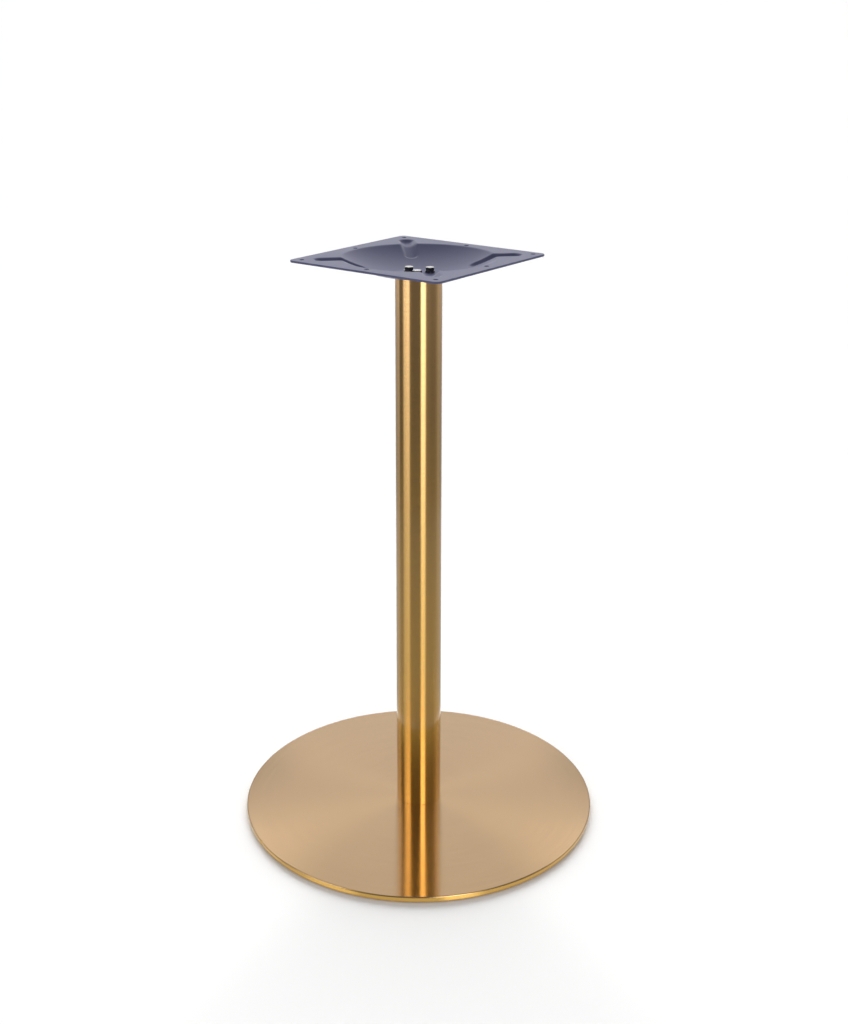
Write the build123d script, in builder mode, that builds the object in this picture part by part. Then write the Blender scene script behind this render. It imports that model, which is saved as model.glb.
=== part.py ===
from build123d import *
from math import asin, atan2, cos, degrees, radians, sin, sqrt, tan
import os

# Pedestal table base: a flat round foot, a tube column and a pressed square top plate.
# Millimetres, +Z up. The origin is the centre of the foot, on the floor.

# Overall sizes
overall_height = 725.0
base_diameter = 450.0
column_diameter = 57.0
plate_side = 220.0

# Foot: a sheet cover spun over a steel weight plate, standing on thin rubber pads
cover_sheet = 1.0
cover_edge_radius = 1.4
hem_width = 9.0
weight_thickness = 5.0
weight_edge_gap = 0.3
rim_to_floor = 1.0
pad_diameter = 22.0
pad_count = 6
pad_inset = 24.0

# Column: a tube with a steel flange welded flush into each end
column_wall = 1.5
column_deburr = 0.3
flange_thickness = 10.0
flange_fit = 0.05
flange_edge_chamfer = 0.8

# Countersunk screws up through the foot into the foot flange
screw_diameter = 8.0
screw_length = 16.0
screw_count = 3
screw_to_tube = 10.0
screw_head_diameter = 16.0
screw_head_recess = 0.2
screw_socket_across_flats = 5.0
screw_socket_depth = 2.6
screw_hole_clearance = 0.5
countersink_angle = 90.0
countersink_gap = 0.1
thread_clearance = 0.05

# Top plate: one pressed sheet
plate_sheet = 2.5
plate_corner_radius = 8.0
plate_edge_radius = 0.5
dish_depth = 19.5
dish_floor_margin = 1.5
dish_border = 15.5
dish_floor_slope = 8.0
dish_shoulder_radius = 8.0
dish_floor_bend_radius = 15.0

# Channels pressed along the plate's diagonals with a round-nosed tool
channel_count = 4
channel_first_angle = 45.0
channel_tool_radius = 12.0
channel_depth = 4.5
channel_inner_depth = 3.4
channel_inner_setback = 25.0
channel_bend_radius = 36.0
channel_to_corner_hole = 23.4
channel_shoulder_radius = 5.0

# Screw holes round the plate's border
border_hole_diameter = 6.0
border_hole_inset = 12.0

# Hexagon bolts, each on a spring washer and a plain washer
bolt_diameter = 6.0
bolt_length = 16.0
bolt_count = 3
bolt_to_tube = 12.5
bolt_first_angle = 60.0
bolt_across_flats = 10.0
bolt_head_height = 4.0
bolt_head_flat_diameter = 9.4
bolt_head_chamfer_angle = 30.0
bolt_tip_chamfer = 0.7
bolt_hole_clearance = 0.3
bolt_turns = (8.0, 5.0, 41.0)
washer_diameter = 12.0
washer_thickness = 1.0
washer_hole_clearance = 0.2
spring_washer_diameter = 11.6
spring_washer_thickness = 1.3
spring_washer_slit = 1.0
spring_washer_slit_angle = 25.0
spring_washer_turns = (75.0, 160.0, 290.0)

# Radii
base_radius = base_diameter / 2
cover_inner_radius = base_radius - cover_sheet
weight_radius = cover_inner_radius - weight_edge_gap
column_radius = column_diameter / 2
tube_bore_radius = column_radius - column_wall
flange_radius = tube_bore_radius - flange_fit
screw_circle_radius = tube_bore_radius - screw_to_tube
bolt_circle_radius = tube_bore_radius - bolt_to_tube
screw_radius = screw_diameter / 2
screw_head_radius = screw_head_diameter / 2
bolt_radius = bolt_diameter / 2
pad_circle_radius = base_radius - pad_inset

# Heights, from the floor up
rim_bottom_z = rim_to_floor
weight_bottom_z = rim_bottom_z + cover_sheet
weight_top_z = weight_bottom_z + weight_thickness
cover_top_z = weight_top_z + cover_sheet
screw_head_z = weight_bottom_z + screw_head_recess
plate_top_z = overall_height
dish_floor_z = plate_top_z - dish_depth
column_top_z = dish_floor_z - plate_sheet
head_flange_z = column_top_z - flange_thickness
spring_washer_z = dish_floor_z + washer_thickness
bolt_seat_z = spring_washer_z + spring_washer_thickness

# Angular places of what repeats round the column's axis
bolt_angles = [bolt_first_angle + 360 / bolt_count * n for n in range(bolt_count)]
screw_angles = [360 / screw_count * n for n in range(screw_count)]
pad_angles = [360 / pad_count * n for n in range(pad_count)]
underside = Plane(origin=(0, 0, weight_bottom_z), x_dir=(1, 0, 0), z_dir=(0, 0, -1))


def seat(circle_radius, angle, height):
    """The level plane on a circle round the axis, with its X direction pointing outwards."""
    outwards = (cos(radians(angle)), sin(radians(angle)), 0)
    return Plane(
        origin=(circle_radius * outwards[0], circle_radius * outwards[1], height),
        x_dir=outwards,
        z_dir=(0, 0, 1),
    )


def finish(part, name):
    """Label one finished piece and write it."""
    part.label = name
    export_step(part, f"parts/{name}.step")


os.makedirs("parts", exist_ok=True)

# Foot cover: flat top, rounded rim, and a hem turned under the weight plate
with BuildPart() as base_cover:
    with BuildSketch(Plane.XZ) as cover_section:
        with BuildLine():
            Polyline(
                (0, cover_top_z),
                (base_radius, cover_top_z),
                (base_radius, rim_bottom_z),
                (base_radius - hem_width, rim_bottom_z),
                (base_radius - hem_width, weight_bottom_z),
                (cover_inner_radius, weight_bottom_z),
                (cover_inner_radius, weight_top_z),
                (0, weight_top_z),
                close=True,
            )
        make_face()
        rim_corners = cover_section.vertices().group_by(Axis.X)[-1]
        fillet(rim_corners, radius=cover_edge_radius)
    revolve(axis=Axis.Z)
    with Locations(Plane.XY.offset(cover_top_z)):
        with PolarLocations(screw_circle_radius, screw_count):
            Hole(radius=screw_radius + screw_hole_clearance, depth=cover_sheet)
finish(base_cover.part, "base_cover")

# Weight plate, countersunk from below for the column's screws
with BuildPart() as base_weight_plate:
    with BuildSketch(Plane.XY.offset(weight_bottom_z)):
        Circle(weight_radius)
    extrude(amount=weight_thickness)
    with Locations(underside):
        with PolarLocations(screw_circle_radius, screw_count):
            CounterSinkHole(
                radius=screw_radius + screw_hole_clearance,
                counter_sink_radius=screw_head_radius + screw_head_recess + countersink_gap,
                counter_sink_angle=countersink_angle,
            )
finish(base_weight_plate.part, "base_weight_plate")

# Floor pads, stuck to the weight plate inside the hem
for number, angle in enumerate(pad_angles, start=1):
    with BuildPart() as floor_pad:
        with BuildSketch(seat(pad_circle_radius, angle, 0)):
            Circle(pad_diameter / 2)
        extrude(amount=weight_bottom_z)
    finish(floor_pad.part, f"floor_pad_{number}")

# Column tube, from the foot's cover up to the dish's floor
with BuildPart() as column_tube:
    with BuildSketch(Plane.XY.offset(cover_top_z)):
        Circle(column_radius)
        Circle(tube_bore_radius, mode=Mode.SUBTRACT)
    extrude(amount=column_top_z - cover_top_z)
    rims = column_tube.edges().filter_by(GeomType.CIRCLE).group_by(SortBy.RADIUS)[-1]
    chamfer(rims, length=column_deburr)
finish(column_tube.part, "column_tube")

# Foot flange, tapped for the screws
with BuildPart() as column_foot_flange:
    with BuildSketch(Plane.XY.offset(cover_top_z)):
        Circle(flange_radius)
        with PolarLocations(screw_circle_radius, screw_count):
            Circle(screw_radius + thread_clearance, mode=Mode.SUBTRACT)
    extrude(amount=flange_thickness)
    rims = column_foot_flange.edges().filter_by(GeomType.CIRCLE).group_by(SortBy.RADIUS)[-1]
    chamfer(rims.sort_by(Axis.Z)[-1], length=flange_edge_chamfer)
finish(column_foot_flange.part, "column_foot_flange")

# Head flange, tapped for the bolts
with BuildPart() as column_head_flange:
    with BuildSketch(Plane.XY.offset(head_flange_z)):
        Circle(flange_radius)
        with PolarLocations(bolt_circle_radius, bolt_count, start_angle=bolt_first_angle):
            Circle(bolt_radius + thread_clearance, mode=Mode.SUBTRACT)
    extrude(amount=flange_thickness)
    rims = column_head_flange.edges().filter_by(GeomType.CIRCLE).group_by(SortBy.RADIUS)[-1]
    chamfer(rims.sort_by(Axis.Z)[0], length=flange_edge_chamfer)
finish(column_head_flange.part, "column_head_flange")

# Countersunk socket screws, heads just inside the weight plate's underside
screw_head_height = (screw_head_radius - screw_radius) / tan(radians(countersink_angle / 2))
for number, angle in enumerate(screw_angles, start=1):
    screw_seat = seat(screw_circle_radius, angle, screw_head_z)
    with BuildPart(screw_seat) as base_screw:
        Cone(
            bottom_radius=screw_head_radius,
            top_radius=screw_radius,
            height=screw_head_height,
            align=(Align.CENTER, Align.CENTER, Align.MIN),
        )
        Cylinder(
            radius=screw_radius,
            height=screw_length,
            align=(Align.CENTER, Align.CENTER, Align.MIN),
        )
        with BuildSketch(screw_seat):
            RegularPolygon(screw_socket_across_flats / 2, side_count=6, major_radius=False)
        extrude(amount=screw_socket_depth, mode=Mode.SUBTRACT)
    finish(base_screw.part, f"base_screw_{number}")

# The dish's section is three tangent arcs: a floor bend, a long wall and a rim shoulder. The
# wall's radius and its slope at the rim follow from where the other two arcs have to be.
dish_rim_radius = plate_side / 2 - dish_border
dish_floor_radius = column_radius + dish_floor_margin
floor_lean = radians(dish_floor_slope)
bend_drop = dish_floor_bend_radius * (1 - cos(floor_lean))
drop = dish_depth - dish_shoulder_radius - bend_drop
run = dish_rim_radius - dish_floor_radius - dish_floor_bend_radius * sin(floor_lean)
spare = dish_shoulder_radius + drop * cos(floor_lean) - run * sin(floor_lean)
dish_wall_radius = (drop**2 + run**2 - dish_shoulder_radius**2) / (2 * spare)
rim_lean = atan2(
    run + dish_wall_radius * sin(floor_lean), dish_wall_radius * cos(floor_lean) - drop
)
wall_centre_x = dish_floor_radius - (dish_wall_radius - dish_floor_bend_radius) * sin(floor_lean)
wall_centre_z = dish_floor_z + bend_drop + dish_wall_radius * cos(floor_lean)


def dish_region(growth):
    """The region inside the dish's surface moved out by growth, up to a lid over the plate."""
    lid_z = plate_top_z + plate_sheet
    floor_z = dish_floor_z - growth
    rim_slope = degrees(rim_lean)
    with BuildSketch(Plane.XZ) as region:
        with BuildLine():
            bend = CenterArc(
                (dish_floor_radius, dish_floor_z + dish_floor_bend_radius),
                dish_floor_bend_radius + growth,
                start_angle=-90,
                arc_size=dish_floor_slope,
            )
            CenterArc(
                (wall_centre_x, wall_centre_z),
                dish_wall_radius + growth,
                start_angle=-90 + dish_floor_slope,
                arc_size=rim_slope - dish_floor_slope,
            )
            shoulder = CenterArc(
                (dish_rim_radius, plate_top_z - dish_shoulder_radius),
                dish_shoulder_radius - growth,
                start_angle=90 + rim_slope,
                arc_size=-rim_slope,
            )
            Polyline(shoulder @ 1, (dish_rim_radius, lid_z), (0, lid_z), (0, floor_z), bend @ 0)
        make_face()
    return region.sketch


# Each channel follows the centre line of a round-nosed tool: level over the plate's corner,
# over the dish's rim and down along its wall. The nose rounds both ends.
border_hole_spacing = plate_side - 2 * border_hole_inset
outer_end_x = border_hole_spacing / sqrt(2) - channel_to_corner_hole
tool_axis_z = plate_top_z + channel_tool_radius - channel_depth
inner_foot_x = dish_rim_radius - channel_inner_setback
inner_lean = asin((inner_foot_x - wall_centre_x) / dish_wall_radius)
inner_arc_radius = dish_wall_radius - channel_tool_radius + channel_inner_depth
inner_end_x = wall_centre_x + inner_arc_radius * sin(inner_lean)
inner_end_z = wall_centre_z - inner_arc_radius * cos(inner_lean)


def channel_form(growth):
    """One channel along the X direction as the tool presses it, swollen by growth."""
    with BuildPart() as channel:
        with BuildLine(Plane.XZ) as centre_line:
            FilletPolyline(
                (outer_end_x, tool_axis_z),
                (dish_rim_radius, tool_axis_z),
                (inner_end_x, inner_end_z),
                radius=channel_bend_radius,
            )
        tool_path = centre_line.wires()[0]
        with BuildSketch(Plane(origin=tool_path @ 0, x_dir=(0, 0, 1), z_dir=tool_path % 0)):
            Circle(channel_tool_radius + growth)
        sweep(path=tool_path)
        with Locations(tool_path @ 0, tool_path @ 1):
            Sphere(channel_tool_radius + growth, rotation=(0, -90, 0))
    return channel.part


# Top plate: the flat sheet and the outsides of its pressed forms, then their insides taken out.
# A bend's radius on the underside is smaller by the sheet's thickness.
with BuildPart() as top_plate:
    with BuildSketch(Plane.XY.offset(plate_top_z - plate_sheet)):
        RectangleRounded(plate_side, plate_side, plate_corner_radius)
    extrude(amount=plate_sheet)
    fillet(top_plate.edges().filter_by(Axis.Z, reverse=True), radius=plate_edge_radius)
    revolve(dish_region(plate_sheet), axis=Axis.Z)
    with PolarLocations(0, channel_count, start_angle=channel_first_angle):
        add(channel_form(plate_sheet))
    roots = top_plate.edges(Select.NEW).filter_by_position(Axis.Z, 0, plate_top_z - plate_sheet / 2)
    fillet(roots, radius=channel_shoulder_radius - plate_sheet)
    split(bisect_by=Plane.XY.offset(plate_top_z), keep=Keep.BOTTOM)
    revolve(dish_region(0), axis=Axis.Z, mode=Mode.SUBTRACT)
    with PolarLocations(0, channel_count, start_angle=channel_first_angle):
        add(channel_form(0), mode=Mode.SUBTRACT)
    fillet(top_plate.edges(Select.NEW), radius=channel_shoulder_radius)
    with BuildSketch(Plane.XY.offset(plate_top_z)):
        with GridLocations(border_hole_spacing, border_hole_spacing, 2, 2):
            Circle(border_hole_diameter / 2)
        with PolarLocations(border_hole_spacing / 2, 4):
            Circle(border_hole_diameter / 2)
    extrude(amount=-plate_sheet, mode=Mode.SUBTRACT)
    with BuildSketch(Plane.XY.offset(dish_floor_z)):
        with PolarLocations(bolt_circle_radius, bolt_count, start_angle=bolt_first_angle):
            Circle(bolt_radius + bolt_hole_clearance)
    extrude(amount=-plate_sheet, mode=Mode.SUBTRACT)
finish(top_plate.part, "top_plate")

# Washers and bolts, seated on the dish's floor over the head flange's tapped holes
corner_cone_run = bolt_head_height / tan(radians(bolt_head_chamfer_angle))
for number, angle in enumerate(bolt_angles, start=1):
    washer_seat = seat(bolt_circle_radius, angle, dish_floor_z)
    with BuildPart() as plain_washer:
        with BuildSketch(washer_seat):
            Circle(washer_diameter / 2)
            Circle(bolt_radius + washer_hole_clearance, mode=Mode.SUBTRACT)
        extrude(amount=washer_thickness)
    finish(plain_washer.part, f"plain_washer_{number}")

    spring_seat = seat(bolt_circle_radius, angle, spring_washer_z)
    slit_turn = spring_seat.rotated((0, 0, spring_washer_turns[number - 1]))
    with BuildPart() as spring_washer:
        with BuildSketch(spring_seat):
            Circle(spring_washer_diameter / 2)
            Circle(bolt_radius + washer_hole_clearance, mode=Mode.SUBTRACT)
        extrude(amount=spring_washer_thickness)
        with BuildSketch(Plane(origin=slit_turn.origin, x_dir=slit_turn.y_dir, z_dir=slit_turn.x_dir)):
            with Locations((0, spring_washer_thickness / 2)):
                Rectangle(
                    spring_washer_slit,
                    3 * spring_washer_thickness,
                    rotation=-spring_washer_slit_angle,
                )
        extrude(amount=spring_washer_diameter / 2, mode=Mode.SUBTRACT)
    finish(spring_washer.part, f"spring_washer_{number}")

    bolt_seat = seat(bolt_circle_radius, angle, bolt_seat_z)
    with BuildPart(bolt_seat) as top_bolt:
        with BuildSketch(bolt_seat):
            RegularPolygon(
                bolt_across_flats / 2,
                side_count=6,
                major_radius=False,
                rotation=bolt_turns[number - 1],
            )
        extrude(amount=bolt_head_height)
        Cone(
            bottom_radius=bolt_head_flat_diameter / 2 + corner_cone_run,
            top_radius=bolt_head_flat_diameter / 2,
            height=bolt_head_height,
            align=(Align.CENTER, Align.CENTER, Align.MIN),
            mode=Mode.INTERSECT,
        )
        Cylinder(
            radius=bolt_radius,
            height=bolt_length,
            align=(Align.CENTER, Align.CENTER, Align.MAX),
        )
        tip = top_bolt.edges().sort_by(Axis.Z)[0]
        chamfer(tip, length=bolt_tip_chamfer)
    finish(top_bolt.part, f"top_bolt_{number}")
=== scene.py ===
# %% [markdown]
# # A pedestal table base in brushed brass
#
# This lesson dresses a table base for a product picture. The base has four things to look at: a
# flat round foot with a spun cover, a brushed tube column, a square pressed plate painted slate
# blue, and three bolts in the plate's dish. The solids come in as a fixed frame, in metres with
# Z up, and the lesson adds finishes, a finer mesh where the finish needs one, lights and a camera.

from math import cos, pi, radians, sin

import bmesh
import bpy
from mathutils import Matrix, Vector


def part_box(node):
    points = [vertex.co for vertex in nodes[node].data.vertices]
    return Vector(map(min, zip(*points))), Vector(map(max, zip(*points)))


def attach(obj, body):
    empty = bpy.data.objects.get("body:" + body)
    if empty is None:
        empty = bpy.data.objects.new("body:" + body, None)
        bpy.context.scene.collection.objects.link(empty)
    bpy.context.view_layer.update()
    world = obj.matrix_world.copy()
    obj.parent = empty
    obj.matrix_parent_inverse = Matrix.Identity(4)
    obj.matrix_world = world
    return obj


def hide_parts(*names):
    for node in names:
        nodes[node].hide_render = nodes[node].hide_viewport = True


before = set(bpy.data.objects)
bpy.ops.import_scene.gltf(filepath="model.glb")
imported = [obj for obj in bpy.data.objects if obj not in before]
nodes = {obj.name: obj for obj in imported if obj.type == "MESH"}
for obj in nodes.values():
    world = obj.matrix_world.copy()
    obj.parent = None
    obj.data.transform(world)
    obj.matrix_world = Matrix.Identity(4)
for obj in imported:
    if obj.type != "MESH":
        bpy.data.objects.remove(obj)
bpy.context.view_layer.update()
print("pieces in the frame:", len(nodes))

# %% [markdown]
# The driving sizes are read from the frame, so the dressing follows the solids if they change. A
# node's box gives its radius and its heights, because these pieces stand on the column's axis.

# %% Read the driving sizes
cover_low, cover_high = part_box("base_cover")
tube_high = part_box("column_tube")[1]
plate_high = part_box("top_plate")[1]
base_radius = cover_high.x
column_radius = tube_high.x
plate_half = plate_high.x
print("foot radius", round(base_radius, 4), "column radius", round(column_radius, 4))
print("plate half side", round(plate_half, 4), "plate top", round(plate_high.z, 4))

# %% [markdown]
# The camera stands as the photographer did: a little above the plate, looking down enough to see
# the foot as a wide ellipse. A product picture keeps its verticals upright by shifting the lens
# instead of tilting the camera further, so the camera here has a small downward shift too.

# %% Place the camera
view_azimuth = radians(37.24)
camera_distance = 1.6717
camera_height = 1.0302
camera_pitch = radians(15.247)
picture_width, picture_height = 848, 1024
sensor_size = 36.0
focal_pixels = 1425.0
centre_column, centre_row = 418.7, 379.0

towards_camera = Vector((sin(view_azimuth), -cos(view_azimuth), 0))
camera_right = Vector((cos(view_azimuth), sin(view_azimuth), 0))
camera_data = bpy.data.cameras.new("picture_camera")
camera_data.sensor_width = sensor_size
camera_data.lens = focal_pixels * sensor_size / picture_height
camera_data.shift_x = (picture_width / 2 - centre_column) / picture_height
camera_data.shift_y = (centre_row - picture_height / 2) / picture_height
camera = bpy.data.objects.new("picture_camera", camera_data)
camera.location = camera_distance * towards_camera + Vector((0, 0, camera_height))
camera.rotation_euler = (pi / 2 - camera_pitch, 0, view_azimuth)
bpy.context.scene.collection.objects.link(camera)
bpy.context.scene.camera = camera
bpy.context.scene.view_settings.view_transform = "Standard"
print("lens", round(camera_data.lens, 2), "shift", round(camera_data.shift_y, 3))

# %% [markdown]
# Materials are networks of nodes. The same few steps come back in each one: add a node, set its
# sockets, join it to the next. A short helper keeps those steps readable. It takes socket values
# by name, and a value that is itself a socket is linked instead of set.


# %% Helpers for node trees
def place(tree, kind, values=None, **settings):
    """Add one node, set its properties, then set or link its inputs."""
    node = tree.nodes.new(kind)
    for name, value in settings.items():
        setattr(node, name, value)
    for name, value in (values or {}).items():
        socket = node.inputs[name]
        if isinstance(value, bpy.types.NodeSocket):
            tree.links.new(value, socket)
        else:
            socket.default_value = value
    return node


def math(tree, operation, first, second=0.0):
    """The result of one sum on sockets or numbers."""
    return place(tree, "ShaderNodeMath", {0: first, 1: second}, operation=operation).outputs[0]


def fresh_material(name):
    """A new material with only its output and a Principled shader."""
    material = bpy.data.materials.new(name + "_finish")
    material.use_nodes = True
    tree = material.node_tree
    shader = tree.nodes["Principled BSDF"]
    return material, tree, shader


print("node helpers ready")

# %% [markdown]
# The floor is plain and pale and runs past the horizon. To a lamp it is ordinary white paint, so
# it catches the foot's soft shadow. To the camera and to reflections it also glows a little,
# which lifts the lit part to pure white and leaves only the shadow grey.

# %% Build the floor
floor_size = 400.0
floor_paint = 0.92
floor_glow = 0.085
bpy.ops.mesh.primitive_plane_add(size=floor_size)
floor = bpy.context.object
floor.name = "studio_floor"
floor_material = bpy.data.materials.new("white_floor")
floor_material.use_nodes = True
tree = floor_material.node_tree
tree.nodes.remove(tree.nodes["Principled BSDF"])


def seen_directly(tree):
    """1 for rays from the camera, from gloss and through glass, 0 for rays that carry light."""
    path = place(tree, "ShaderNodeLightPath")
    gloss = math(tree, "MAXIMUM", path.outputs["Is Camera Ray"], path.outputs["Is Glossy Ray"])
    return math(tree, "MAXIMUM", gloss, path.outputs["Is Transmission Ray"])


floor_white = (floor_paint, floor_paint, floor_paint, 1)
paint = place(tree, "ShaderNodeBsdfDiffuse", {"Color": floor_white})
glow_seen = math(tree, "MULTIPLY", seen_directly(tree), floor_glow)
glow = place(tree, "ShaderNodeEmission", {"Strength": glow_seen})
both = place(tree, "ShaderNodeAddShader", {0: paint.outputs[0], 1: glow.outputs[0]})
tree.links.new(both.outputs[0], tree.nodes["Material Output"].inputs["Surface"])
floor.data.materials.append(floor_material)
print("floor side", floor_size, "metres")

# %% [markdown]
# The studio's white walls are the world, and Light Path tells which kind of ray looks at them. The
# camera sees pure white. A ray that carries light finds a plain, even level. Gloss and glass see
# white walls as well, but the room grows darker overhead, as a ceiling is, which keeps the flat of
# the foot from washing out when it is seen from above.

# %% Set the world
wall_light = 0.36
ceiling_gloss = 0.40
ceiling_starts, ceiling_full = 34, 62
world = bpy.data.worlds.new("white_studio")
world.use_nodes = True
bpy.context.scene.world = world
tree = world.node_tree
room = tree.nodes["Background"]
room.inputs["Color"].default_value = (1, 1, 1, 1)
path = place(tree, "ShaderNodeLightPath")
heading = place(tree, "ShaderNodeTexCoord").outputs["Generated"]
up = place(tree, "ShaderNodeSeparateXYZ", {"Vector": heading}).outputs["Z"]
overhead = {
    "Value": up,
    "From Min": sin(radians(ceiling_starts)),
    "From Max": sin(radians(ceiling_full)),
    "To Min": 1.0,
    "To Max": ceiling_gloss,
}
falling_off = place(tree, "ShaderNodeMapRange", overhead, interpolation_type="SMOOTHSTEP")
gloss_level = falling_off.outputs[0]
glossy = math(tree, "MAXIMUM", path.outputs["Is Glossy Ray"], path.outputs["Is Transmission Ray"])
carried = math(tree, "SUBTRACT", 1.0, math(tree, "MAXIMUM", path.outputs["Is Camera Ray"], glossy))
seen = math(tree, "MULTIPLY", glossy, gloss_level)
lit = math(tree, "MULTIPLY", carried, wall_light)
total = math(tree, "ADD", math(tree, "ADD", seen, lit), path.outputs["Is Camera Ray"])
tree.links.new(total, room.inputs["Strength"])
print("wall light", wall_light)

# %% [markdown]
# Shiny round metal shows its surroundings as upright stripes, so a photographer puts black velvet
# in front of it and lets two tall soft lights stand between the velvet. Here one curved sheet is
# both: a card on the floor, then a wall. Only reflections see it. Its light goes round in stops of
# angle. It is also unrolled from 0 at the rim, over the floor, to 1 at the wall's top. Stops along
# that line tell how much of the stripes each height shows, and a last set adds a plain light to
# the card. The rim sees only the floor right next to it, so a narrow apron there repeats the
# stripes at half their angle, which is where a round rim would show the wall's.

# %% Build the velvet and the light faces
velvet_stops = [
    (-162, 0.70),
    (-128, 0.68),
    (-112, 0.82),
    (-103, 0.18),
    (-85, 0.20),
    (-74, 1.45),  # the left light face, up to the next stop
    (-50, 1.85),
    (-40, 0.20),
    (-20, 0.155),
    (7.3, 0.17),
    (14.5, 3.20),  # the right light face, up to the next stop
    (27, 3.20),
    (39.5, 0.31),
    (66, 0.23),
    (88, 0.26),
    (97, 0.50),
    (112, 0.62),
    (128, 0.64),
    (162, 0.70),
]
apron_edge, wall_foot = 0.20, 0.50
stripe_stops = [
    (0.19, 0.19),
    (0.21, 0.20),
    (0.49, 0.20),
    (0.51, 0.42),
    (0.60, 0.48),
    (0.67, 2.10),
    (0.725, 2.10),
    (0.785, 0.35),
]
plain_stops = [(0.19, 0.62), (0.21, 0.31), (0.49, 0.31), (0.51, 0.0)]
apron_inner_radius = base_radius + 0.002
apron_outer_radius = base_radius + 0.030
apron_narrowing = 0.5
apron_turn = 2.5
velvet_radius = 1.10
velvet_height = 2.40
velvet_lift = 0.0008
velvet_steps = 162
first_angle, last_angle = velvet_stops[0][0], velvet_stops[-1][0]


def round_axis(radius, angle, height):
    """A point at an angle from the camera's direction, to the camera's right when positive."""
    turn = radians(angle)
    flat = cos(turn) * towards_camera + sin(turn) * camera_right
    return radius * flat + Vector((0, 0, height))


def add_sheet(form, uv, profile, narrowing, turn):
    """Sweep a profile of radius, height and unrolled place round the axis."""
    rows = []
    for step in range(velvet_steps + 1):
        angle = first_angle + (last_angle - first_angle) * step / velvet_steps
        angle = turn + narrowing * angle
        rows.append([form.verts.new(round_axis(r, angle, z)) for r, z, rise in profile])
    for step in range(velvet_steps):
        for k in range(len(profile) - 1):
            ring = ((step, k), (step, k + 1), (step + 1, k + 1), (step + 1, k))
            face = form.faces.new([rows[s][j] for s, j in ring])
            for loop, (s, j) in zip(face.loops, ring):
                loop[uv].uv = (s / velvet_steps, profile[j][2])


def build_velvet():
    """The apron and the wall with its floor card, as one mesh."""
    form = bmesh.new()
    uv = form.loops.layers.uv.new("round")
    apron = [
        (apron_inner_radius, velvet_lift, 0.0),
        (apron_outer_radius, velvet_lift, apron_edge),
    ]
    wall = [
        (apron_outer_radius, velvet_lift, apron_edge),
        (velvet_radius, velvet_lift, wall_foot),
        (velvet_radius, velvet_height, 1.0),
    ]
    add_sheet(form, uv, apron, apron_narrowing, apron_turn)
    add_sheet(form, uv, wall, narrowing=1.0, turn=0.0)
    mesh = bpy.data.meshes.new("velvet_and_lights")
    form.to_mesh(mesh)
    form.free()
    return bpy.data.objects.new("velvet_and_lights", mesh)


def ramp_of_stops(tree, along, stops, smooth):
    """A value that follows stops of place, from 0 to 1, and level."""
    most = max(level for at, level in stops)
    ramp = place(tree, "ShaderNodeValToRGB", {"Fac": along})
    ramp.color_ramp.interpolation = smooth
    elements = ramp.color_ramp.elements
    elements[0].position, elements[1].position = stops[0][0], stops[-1][0]
    for at, level in stops[1:-1]:
        elements.new(at)
    for element, (at, level) in zip(elements, stops):
        element.color = (level / most, level / most, level / most, 1)
    return math(tree, "MULTIPLY", ramp.outputs["Color"], most)


velvet = build_velvet()
bpy.context.scene.collection.objects.link(velvet)
velvet_material = bpy.data.materials.new("velvet_and_light_faces")
velvet_material.use_nodes = True
tree = velvet_material.node_tree
tree.nodes.remove(tree.nodes["Principled BSDF"])
place_round = place(tree, "ShaderNodeUVMap", uv_map="round")
unrolled = place(tree, "ShaderNodeSeparateXYZ", {"Vector": place_round.outputs[0]}).outputs
sweep = last_angle - first_angle
round_stops = [((angle - first_angle) / sweep, light) for angle, light in velvet_stops]
stripes = ramp_of_stops(tree, unrolled["X"], round_stops, "EASE")
share = ramp_of_stops(tree, unrolled["Y"], stripe_stops, "LINEAR")
plain = ramp_of_stops(tree, unrolled["Y"], plain_stops, "LINEAR")
level = math(tree, "ADD", math(tree, "MULTIPLY", stripes, share), plain)
shine = place(tree, "ShaderNodeEmission", {"Strength": level})
tree.links.new(shine.outputs[0], tree.nodes["Material Output"].inputs["Surface"])
velvet.data.materials.append(velvet_material)
for ray in ("camera", "diffuse", "transmission", "volume_scatter", "shadow"):
    setattr(velvet, "visible_" + ray, False)
print("velvet from", first_angle, "to", last_angle, "degrees")

# %% [markdown]
# Two tall soft lamps in front and a window behind give the paint its shape. The window is a sun
# lamp with a very wide angle, which is as soft as a big window and lights the whole floor evenly.
# It stands low, so the far wall of the dish, which leans towards the camera, falls darker than the
# flat of the plate, and the foot's shadow comes forward. The lamps are hidden from gloss, because
# the light faces in the velvet already stand for them there.

# %% Hang the lights
lamp_distance, lamp_height, lamp_tall = 2.4, 1.2, 2.2
window_strength, window_elevation, window_angle = 5.3, 22, 60


def hang(lamp):
    """Put a lamp in the scene, out of sight of the camera and of gloss."""
    lamp.visible_camera = False
    lamp.visible_glossy = False
    bpy.context.scene.collection.objects.link(lamp)


def soft_light(name, angle, width, watts):
    """One tall rectangular lamp that points at the middle of the column."""
    data = bpy.data.lights.new(name, "AREA")
    data.shape = "RECTANGLE"
    data.size, data.size_y = width, lamp_tall
    data.energy = watts
    lamp = bpy.data.objects.new(name, data)
    lamp.location = round_axis(lamp_distance, angle, lamp_height)
    aim = Vector((0, 0, plate_high.z / 2)) - lamp.location
    lamp.rotation_euler = aim.to_track_quat("-Z", "Y").to_euler()
    hang(lamp)


soft_light("left_tall_light", angle=-65, width=1.0, watts=3)
soft_light("right_tall_light", angle=22, width=0.42, watts=2)
window = bpy.data.lights.new("back_window", "SUN")
window.energy = window_strength
window.angle = radians(window_angle)
window_lamp = bpy.data.objects.new("back_window", window)
rise = radians(window_elevation)
from_behind = round_axis(cos(rise), 180, sin(rise))
window_lamp.rotation_euler = (-from_behind).to_track_quat("-Z", "Y").to_euler()
hang(window_lamp)

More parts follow.
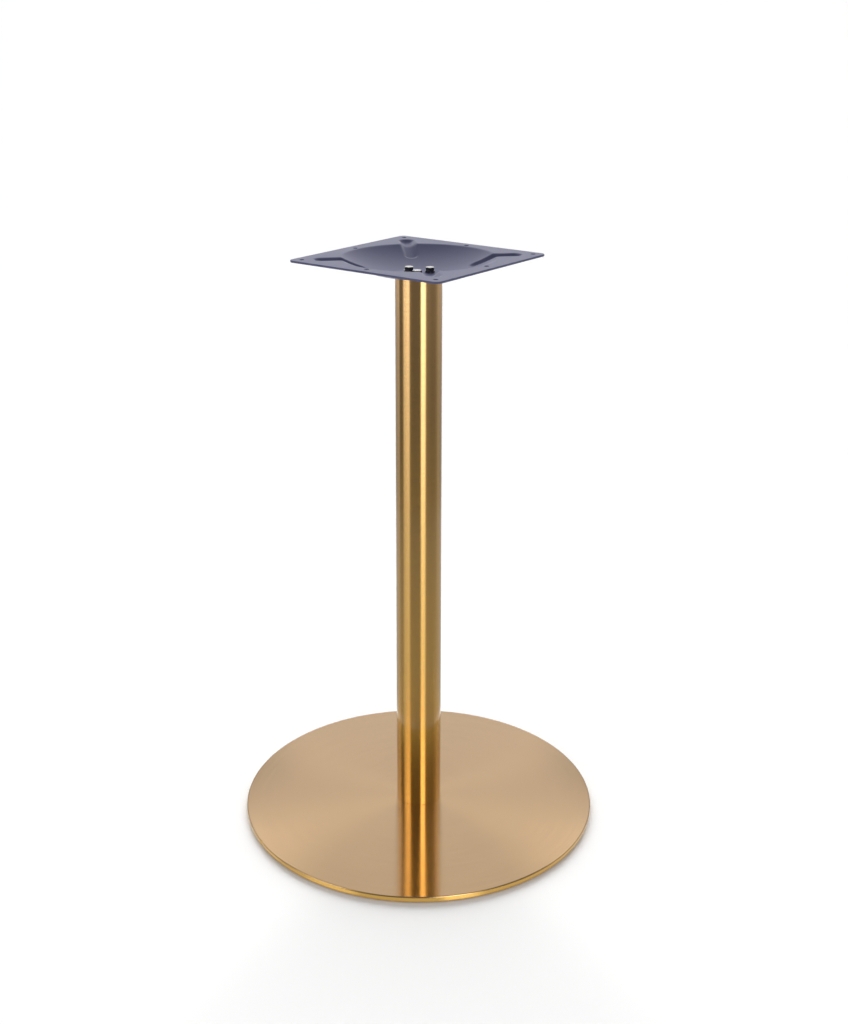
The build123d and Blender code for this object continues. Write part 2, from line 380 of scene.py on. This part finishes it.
# %% [markdown]
# Brushing leaves very fine lines round the axis, on the foot's top, on its rim and round the
# tube. They all vary with one number: distance from the axis less height. It grows across the
# lines on the flat and down the side alike. The group below turns that number into fine lines and
# broad streaks, broken up along their length, and gives both out as values between 0 and 1. It
# also leans the surface's normal a little across each line, so that the lines catch the light.

# %% Group: turned brush lines
streak_share = 0.06
line_detail, streak_detail = 3.0, 2.0


def new_group(name, inputs, outputs):
    """An empty shader group with named number inputs and outputs."""
    group = bpy.data.node_groups.new(name, "ShaderNodeTree")
    for label, kind, value in inputs:
        socket = group.interface.new_socket(name=label, in_out="INPUT", socket_type=kind)
        if value is not None:
            socket.default_value = value
    for label, kind in outputs:
        group.interface.new_socket(name=label, in_out="OUTPUT", socket_type=kind)
    entry = group.nodes.new("NodeGroupInput")
    leave = group.nodes.new("NodeGroupOutput")
    return group, entry.outputs, leave.inputs


def build_brush_lines():
    """Lines and streaks that run round the axis, and the normal that goes with them."""
    group, given, result = new_group(
        "turned_brush_lines",
        [
            ("Lines per metre", "NodeSocketFloat", 1500.0),
            ("Line length", "NodeSocketFloat", 3.0),
            ("Tilt", "NodeSocketFloat", 0.5),
        ],
        [
            ("Lines", "NodeSocketFloat"),
            ("Streaks", "NodeSocketFloat"),
            ("Normal", "NodeSocketVector"),
        ],
    )
    spot = place(group, "ShaderNodeTexCoord").outputs["Object"]
    parts = place(group, "ShaderNodeSeparateXYZ", {"Vector": spot}).outputs
    flat = place(group, "ShaderNodeCombineXYZ", {"X": parts["X"], "Y": parts["Y"]}).outputs[0]
    radius = place(group, "ShaderNodeVectorMath", {0: flat}, operation="LENGTH").outputs["Value"]
    across = math(group, "SUBTRACT", radius, parts["Z"])
    heading = place(group, "ShaderNodeVectorMath", {0: flat}, operation="NORMALIZE").outputs[0]
    along = {0: heading, "Scale": given["Line length"]}
    slow = place(group, "ShaderNodeVectorMath", along, operation="SCALE").outputs[0]
    slow_parts = place(group, "ShaderNodeSeparateXYZ", {"Vector": slow}).outputs
    fine = math(group, "MULTIPLY", across, given["Lines per metre"])

    def noise_across(height, detail):
        """Noise that changes fast across the lines and slowly along them."""
        spread = {"X": slow_parts["X"], "Y": slow_parts["Y"], "Z": height}
        where = place(group, "ShaderNodeCombineXYZ", spread).outputs[0]
        values = {"Vector": where, "Scale": 1.0, "Detail": detail}
        return place(group, "ShaderNodeTexNoise", values).outputs["Fac"]

    lines = noise_across(fine, line_detail)
    streaks = noise_across(math(group, "MULTIPLY", fine, streak_share), streak_detail)
    group.links.new(lines, result["Lines"])
    group.links.new(streaks, result["Streaks"])
    lean = math(group, "MULTIPLY", math(group, "SUBTRACT", lines, 0.5), given["Tilt"])
    downhill = place(
        group, "ShaderNodeVectorMath", {0: heading, 1: (0, 0, -1)}, operation="ADD"
    ).outputs[0]
    leaning = place(
        group, "ShaderNodeVectorMath", {0: downhill, "Scale": lean}, operation="SCALE"
    ).outputs[0]
    straight = place(group, "ShaderNodeNewGeometry").outputs["Normal"]
    tilted = place(
        group, "ShaderNodeVectorMath", {0: straight, 1: leaning}, operation="ADD"
    ).outputs[0]
    unit = place(group, "ShaderNodeVectorMath", {0: tilted}, operation="NORMALIZE")
    group.links.new(unit.outputs[0], result["Normal"])
    return group


brush_lines = build_brush_lines()
print("group:", brush_lines.name)

# %% [markdown]
# Handled metal and paint are never perfectly even. The second group gives slow, soft patches that
# every finish here uses with its own scale, to vary colour and gloss by a few hundredths.

# %% Group: soft patches
patch_detail, patch_roughness = 4.0, 0.55


def build_soft_patches():
    """Slow patches round a middle of one half."""
    group, given, result = new_group(
        "soft_patches",
        [("Patches per metre", "NodeSocketFloat", 12.0), ("Contrast", "NodeSocketFloat", 1.0)],
        [("Patches", "NodeSocketFloat")],
    )
    spot = place(group, "ShaderNodeTexCoord").outputs["Object"]
    values = {
        "Vector": spot,
        "Scale": given["Patches per metre"],
        "Detail": patch_detail,
        "Roughness": patch_roughness,
    }
    noise = place(group, "ShaderNodeTexNoise", values)
    centred = math(group, "SUBTRACT", noise.outputs["Fac"], 0.5)
    spread = math(group, "MULTIPLY", centred, given["Contrast"])
    lifted = place(group, "ShaderNodeMath", {0: spread, 1: 0.5}, operation="ADD", use_clamp=True)
    group.links.new(lifted.outputs[0], result["Patches"])
    return group


soft_patches = build_soft_patches()
print("group:", soft_patches.name)

# %% [markdown]
# A group goes into a material as any node does, with its own values. Two colours are mixed by a
# share, a value from 0 to 1 is stretched to the range that a socket needs, and a colour is made
# lighter or darker by a tone. The helpers below do that for every finish.


# %% Helpers that place a group and mix colours
def use_group(tree, group, values):
    """Place a group in a tree, set its inputs and give its outputs."""
    node = tree.nodes.new("ShaderNodeGroup")
    node.node_tree = group
    for name, value in values.items():
        node.inputs[name].default_value = value
    return node.outputs


def blend_colours(tree, share, first, second):
    """Mix two colours, or a colour and a socket, by a share."""
    mix = place(tree, "ShaderNodeMix", data_type="RGBA")
    for socket, value in ((mix.inputs[0], share), (mix.inputs[6], first), (mix.inputs[7], second)):
        if isinstance(value, bpy.types.NodeSocket):
            tree.links.new(value, socket)
        else:
            socket.default_value = value
    return mix.outputs[2]


def between(tree, value, low, high):
    """Stretch a value that runs from 0 to 1 so that it runs from low to high."""
    spans = {"Value": value, "To Min": low, "To Max": high}
    return place(tree, "ShaderNodeMapRange", spans).outputs[0]


def toned(tree, colour, tone):
    """Make a colour lighter or darker by a tone near 1."""
    scaled = {0: colour, "Scale": tone}
    return place(tree, "ShaderNodeVectorMath", scaled, operation="SCALE").outputs[0]


def facing_up(tree):
    """1 on a surface that faces up, 0 on an upright one, -1 on one that faces down."""
    normal = place(tree, "ShaderNodeNewGeometry").outputs["True Normal"]
    return place(tree, "ShaderNodeSeparateXYZ", {"Vector": normal}).outputs["Z"]


print("mixing helpers ready")

# %% [markdown]
# The brass colour is a thin coat on stainless sheet. Brushing goes round the axis, so each
# reflection is drawn out across the lines: along the radius on the foot, up and down on the tube.
# The Principled shader does this with Anisotropic, and a quarter turn of Anisotropic Rotation
# lays the rough direction across the lines. The flat of the foot is painted a paler, darker brass
# than the tube and the rim, a painted shade that stands in for the light the flat reflects. The
# tube is painted warmer towards its foot, a painted reflection of the gold foot in it. A clear
# coat over it all adds the thin whitish sheen that keeps the dark stripes from going fully brown.

# %% Material: brushed brass
# Painted shade: the flat of the foot is a paler, darker brass than the sides of the same sheet.
brass_flat_painted_shade = (0.530, 0.335, 0.158, 1)
# Painted reflection: the tube's low colour is warmer, standing in for the gold foot reflected in
# it.
brass_side_low_painted_bounce = (0.82, 0.480, 0.095, 1)
brass_side_high = (0.80, 0.487, 0.208, 1)
brass_roughness_flat = 0.17
brass_roughness_side = 0.22
brass_stretch = 1.0
quarter_turn = 0.25
brass_brushing = {"Lines per metre": 4000.0, "Line length": 2.5, "Tilt": 0.30}
brass_line_tone, brass_patch_tone = (0.96, 1.04), (0.96, 1.03)
brass_streak_gloss = (-0.02, 0.02)
painted_bounce_power = 1.4
brass_coat, brass_coat_roughness = 1.0, 0.10


def build_brushed_brass():
    """Brass-coloured metal, brushed round the axis and clear coated."""
    material, tree, shader = fresh_material("brushed_brass")
    lines = use_group(tree, brush_lines, brass_brushing)
    patches = use_group(tree, soft_patches, {"Patches per metre": 7.0, "Contrast": 1.4})
    upward = facing_up(tree)
    spot = place(tree, "ShaderNodeTexCoord").outputs["Object"]
    height = place(tree, "ShaderNodeSeparateXYZ", {"Vector": spot}).outputs["Z"]
    rise = place(tree, "ShaderNodeMapRange", {"Value": height, "From Max": plate_high.z}).outputs[0]
    rise = math(tree, "POWER", rise, painted_bounce_power)
    # The tube's colour is painted warmer towards its foot, a painted reflection of the gold foot.
    side = blend_colours(tree, rise, brass_side_low_painted_bounce, brass_side_high)
    # Faces that point up take the flat's painted shade.
    colour = blend_colours(tree, math(tree, "MAXIMUM", upward, 0.0), side, brass_flat_painted_shade)
    line_tone = between(tree, lines["Lines"], *brass_line_tone)
    patch_tone = between(tree, patches["Patches"], *brass_patch_tone)
    tone = math(tree, "MULTIPLY", line_tone, patch_tone)
    tree.links.new(toned(tree, colour, tone), shader.inputs["Base Color"])
    finish = between(tree, upward, brass_roughness_side, brass_roughness_flat)
    uneven = between(tree, lines["Streaks"], *brass_streak_gloss)
    tree.links.new(math(tree, "ADD", finish, uneven), shader.inputs["Roughness"])
    tree.links.new(lines["Normal"], shader.inputs["Normal"])
    shader.inputs["Metallic"].default_value = 1.0
    shader.inputs["Anisotropic"].default_value = brass_stretch
    shader.inputs["Anisotropic Rotation"].default_value = quarter_turn
    shader.inputs["Coat Weight"].default_value = brass_coat
    shader.inputs["Coat Roughness"].default_value = brass_coat_roughness
    return material


brushed_brass = build_brushed_brass()
print("material:", brushed_brass.name)

# %% [markdown]
# The plate is powder coated: an even satin paint with a very fine orange peel. At a low angle the
# satin picks up the white studio, which makes the flat of the plate lighter than its dish. The
# peel is far too fine to be modelled, so a Bump node does it.

# %% Material: slate paint
slate_colour = (0.094, 0.098, 0.184, 1)
slate_light = (0.105, 0.109, 0.201, 1)
slate_roughness = (0.32, 0.38)
slate_specular = 0.22
peel_per_metre, peel_strength, peel_distance = 1400.0, 0.12, 0.0002


def build_slate_paint():
    """Satin powder coat with a fine orange peel."""
    material, tree, shader = fresh_material("slate_paint")
    patches = use_group(tree, soft_patches, {"Patches per metre": 18.0, "Contrast": 1.5})
    peel = use_group(tree, soft_patches, {"Patches per metre": peel_per_metre, "Contrast": 1.0})
    colour = blend_colours(tree, patches["Patches"], slate_colour, slate_light)
    tree.links.new(colour, shader.inputs["Base Color"])
    roughness = between(tree, patches["Patches"], *slate_roughness)
    tree.links.new(roughness, shader.inputs["Roughness"])
    skin = {"Strength": peel_strength, "Distance": peel_distance, "Height": peel["Patches"]}
    bump = place(tree, "ShaderNodeBump", skin)
    tree.links.new(bump.outputs[0], shader.inputs["Normal"])
    shader.inputs["Specular IOR Level"].default_value = slate_specular
    return material


slate_paint = build_slate_paint()
print("material:", slate_paint.name)

# %% [markdown]
# The bolts and washers are zinc plated. Their colour holds painted light: the tops are painted
# bright, as they catch the white room, and the sides are painted dark, as they face the dark
# velvet. How far a face points up gives the share of each.

# %% Material: bright zinc
# Painted highlight on the tops and painted shade on the sides, chosen by how far a face points up.
zinc_top_painted_light = (0.88, 0.88, 0.86, 1)
zinc_side_painted_shade = (0.055, 0.056, 0.060, 1)
top_light_from, top_light_full = 0.3, 0.8
zinc_tone, zinc_roughness = (0.85, 1.08), (0.16, 0.30)


def build_bright_zinc():
    """Zinc plating, with a painted highlight on top and painted shade on the sides."""
    material, tree, shader = fresh_material("bright_zinc")
    patches = use_group(tree, soft_patches, {"Patches per metre": 220.0, "Contrast": 1.6})
    facing_spans = {"Value": facing_up(tree), "From Min": top_light_from, "From Max": top_light_full}
    painted_top_share = place(tree, "ShaderNodeMapRange", facing_spans).outputs[0]
    # The painted light of the tops and the painted shade of the sides, mixed by facing.
    colour = blend_colours(tree, painted_top_share, zinc_side_painted_shade, zinc_top_painted_light)
    tone = between(tree, patches["Patches"], *zinc_tone)
    tree.links.new(toned(tree, colour, tone), shader.inputs["Base Color"])
    roughness = between(tree, patches["Patches"], *zinc_roughness)
    tree.links.new(roughness, shader.inputs["Roughness"])
    shader.inputs["Metallic"].default_value = 1.0
    return material


bright_zinc = build_bright_zinc()
print("material:", bright_zinc.name)

# %% [markdown]
# The remaining finishes are plain workshop ones: black on the screws underneath, a primer on the
# weight plate, bare steel flanges and rubber pads. One function makes them all from two colours, a
# range of roughness, how metallic they are and how fine their patches are.


# %% Materials: black steel, primer, bare steel and rubber
def build_plain_finish(name, dark, light, roughness, metallic, grain):
    """A finish of two near colours in patches, with a range of roughness."""
    material, tree, shader = fresh_material(name)
    patches = use_group(tree, soft_patches, {"Patches per metre": grain, "Contrast": 1.6})
    colour = blend_colours(tree, patches["Patches"], dark, light)
    tree.links.new(colour, shader.inputs["Base Color"])
    tree.links.new(between(tree, patches["Patches"], *roughness), shader.inputs["Roughness"])
    shader.inputs["Metallic"].default_value = metallic
    print("material:", name)
    return material


black_fastener = build_plain_finish(
    "black_fastener",
    dark=(0.018, 0.018, 0.020, 1),
    light=(0.045, 0.045, 0.048, 1),
    roughness=(0.38, 0.52),
    metallic=0.6,
    grain=260.0,
)
black_primer = build_plain_finish(
    "black_primer",
    dark=(0.020, 0.020, 0.021, 1),
    light=(0.035, 0.035, 0.037, 1),
    roughness=(0.55, 0.70),
    metallic=0.0,
    grain=40.0,
)
bare_steel = build_plain_finish(
    "bare_steel",
    dark=(0.34, 0.34, 0.35, 1),
    light=(0.50, 0.50, 0.50, 1),
    roughness=(0.35, 0.50),
    metallic=1.0,
    grain=90.0,
)
pad_rubber = build_plain_finish(
    "pad_rubber",
    dark=(0.022, 0.022, 0.022, 1),
    light=(0.040, 0.039, 0.038, 1),
    roughness=(0.70, 0.85),
    metallic=0.0,
    grain=300.0,
)

# %% [markdown]
# The solids' shapes are right, so they stay and take the new finishes by the names of their own
# slots.

# %% Give every node its finish
finishes = {
    "brushed_brass": brushed_brass,
    "slate_paint": slate_paint,
    "bright_zinc": bright_zinc,
    "black_fastener": black_fastener,
    "black_primer": black_primer,
    "bare_steel": bare_steel,
    "pad_rubber": pad_rubber,
}
for name, node in nodes.items():
    for slot in node.material_slots:
        slot.material = finishes[slot.material.name.split(".")[0]]
print("finishes given:", len(finishes))

# %% [markdown]
# The foot's cover is where the light rolls over a small radius all round the rim, so its facets
# would show first. It could be subdivided, but a spun sheet is simplest as what it is: one section
# turned round the axis in fine steps. Spinning leaves the rim a few hundredths of a millimetre
# uneven, and one small dent in the edge is wear.

# %% Build the foot's cover
cover_steps = 720
edge_radius = 0.0014
edge_steps = 6
hem_width = 0.009
hem_sheet = 0.001
sharp_angle = 40
flat_radii = (0.02, 0.08, 0.14, 0.19)
flat_margins = (0.003, 0.0002)  # two more rings, this far inside the rim's bend
rim_unevenness = 0.00006
rim_waves = ((5, 0.25, 0.0), (11, 0.15, 1.0), (23, 0.10, 2.0))  # number, share and start
dent_angle = -60.5
dent_half_width = 0.8  # degrees, as the angle
dent_depth = 0.0012


def cover_section():
    """The cover's section, from near its middle, over the rim and in along the hem."""
    bend = base_radius - edge_radius
    quarter = [pi / 2 * step / edge_steps for step in range(edge_steps + 1)]
    top = [(r, cover_high.z) for r in (*flat_radii, *(bend - margin for margin in flat_margins))]
    over = [
        (bend + edge_radius * sin(t), cover_high.z - edge_radius * (1 - cos(t))) for t in quarter
    ]
    under = [
        (bend + edge_radius * cos(t), cover_low.z + edge_radius * (1 - sin(t))) for t in quarter
    ]
    hem_end = base_radius - hem_width
    hem = [(hem_end, cover_low.z), (hem_end, cover_low.z + hem_sheet)]
    return top + over + under + hem


def uneven_radius(radius, angle):
    """Pull a point of the rim in by a hair, and further inside the dent."""
    turn = radians(angle)
    wave = 0.5 + sum(size * sin(count * turn + start) for count, size, start in rim_waves)
    near = max(0.0, 1 - abs(angle - dent_angle) / dent_half_width)
    at_rim = max(0.0, (radius - base_radius + edge_radius) / edge_radius)
    return radius - at_rim * (rim_unevenness * wave + dent_depth * near)


def build_cover():
    """Turn the section round the axis, closed at its middle."""
    section = cover_section()
    form = bmesh.new()
    rings = []
    for step in range(cover_steps):
        angle = 360 * step / cover_steps - 180
        turned = [round_axis(uneven_radius(r, angle), angle, z) for r, z in section]
        rings.append([form.verts.new(point) for point in turned])
    middle = form.verts.new((0, 0, cover_high.z))
    for step in range(cover_steps):
        here, there = rings[step], rings[(step + 1) % cover_steps]
        form.faces.new((middle, here[0], there[0]))
        for k in range(len(section) - 1):
            form.faces.new((here[k], here[k + 1], there[k + 1], there[k]))
    bmesh.ops.recalc_face_normals(form, faces=form.faces)
    mesh = bpy.data.meshes.new("cover_sheet")
    form.to_mesh(mesh)
    form.free()
    mesh.shade_smooth()
    mesh.set_sharp_from_angle(angle=radians(sharp_angle))
    cover = bpy.data.objects.new("cover_sheet", mesh)
    bpy.context.scene.collection.objects.link(cover)
    return cover


cover = build_cover()
cover.data.materials.append(brushed_brass)
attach(cover, "root")
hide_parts("base_cover")
print("cover faces:", len(cover.data.polygons))
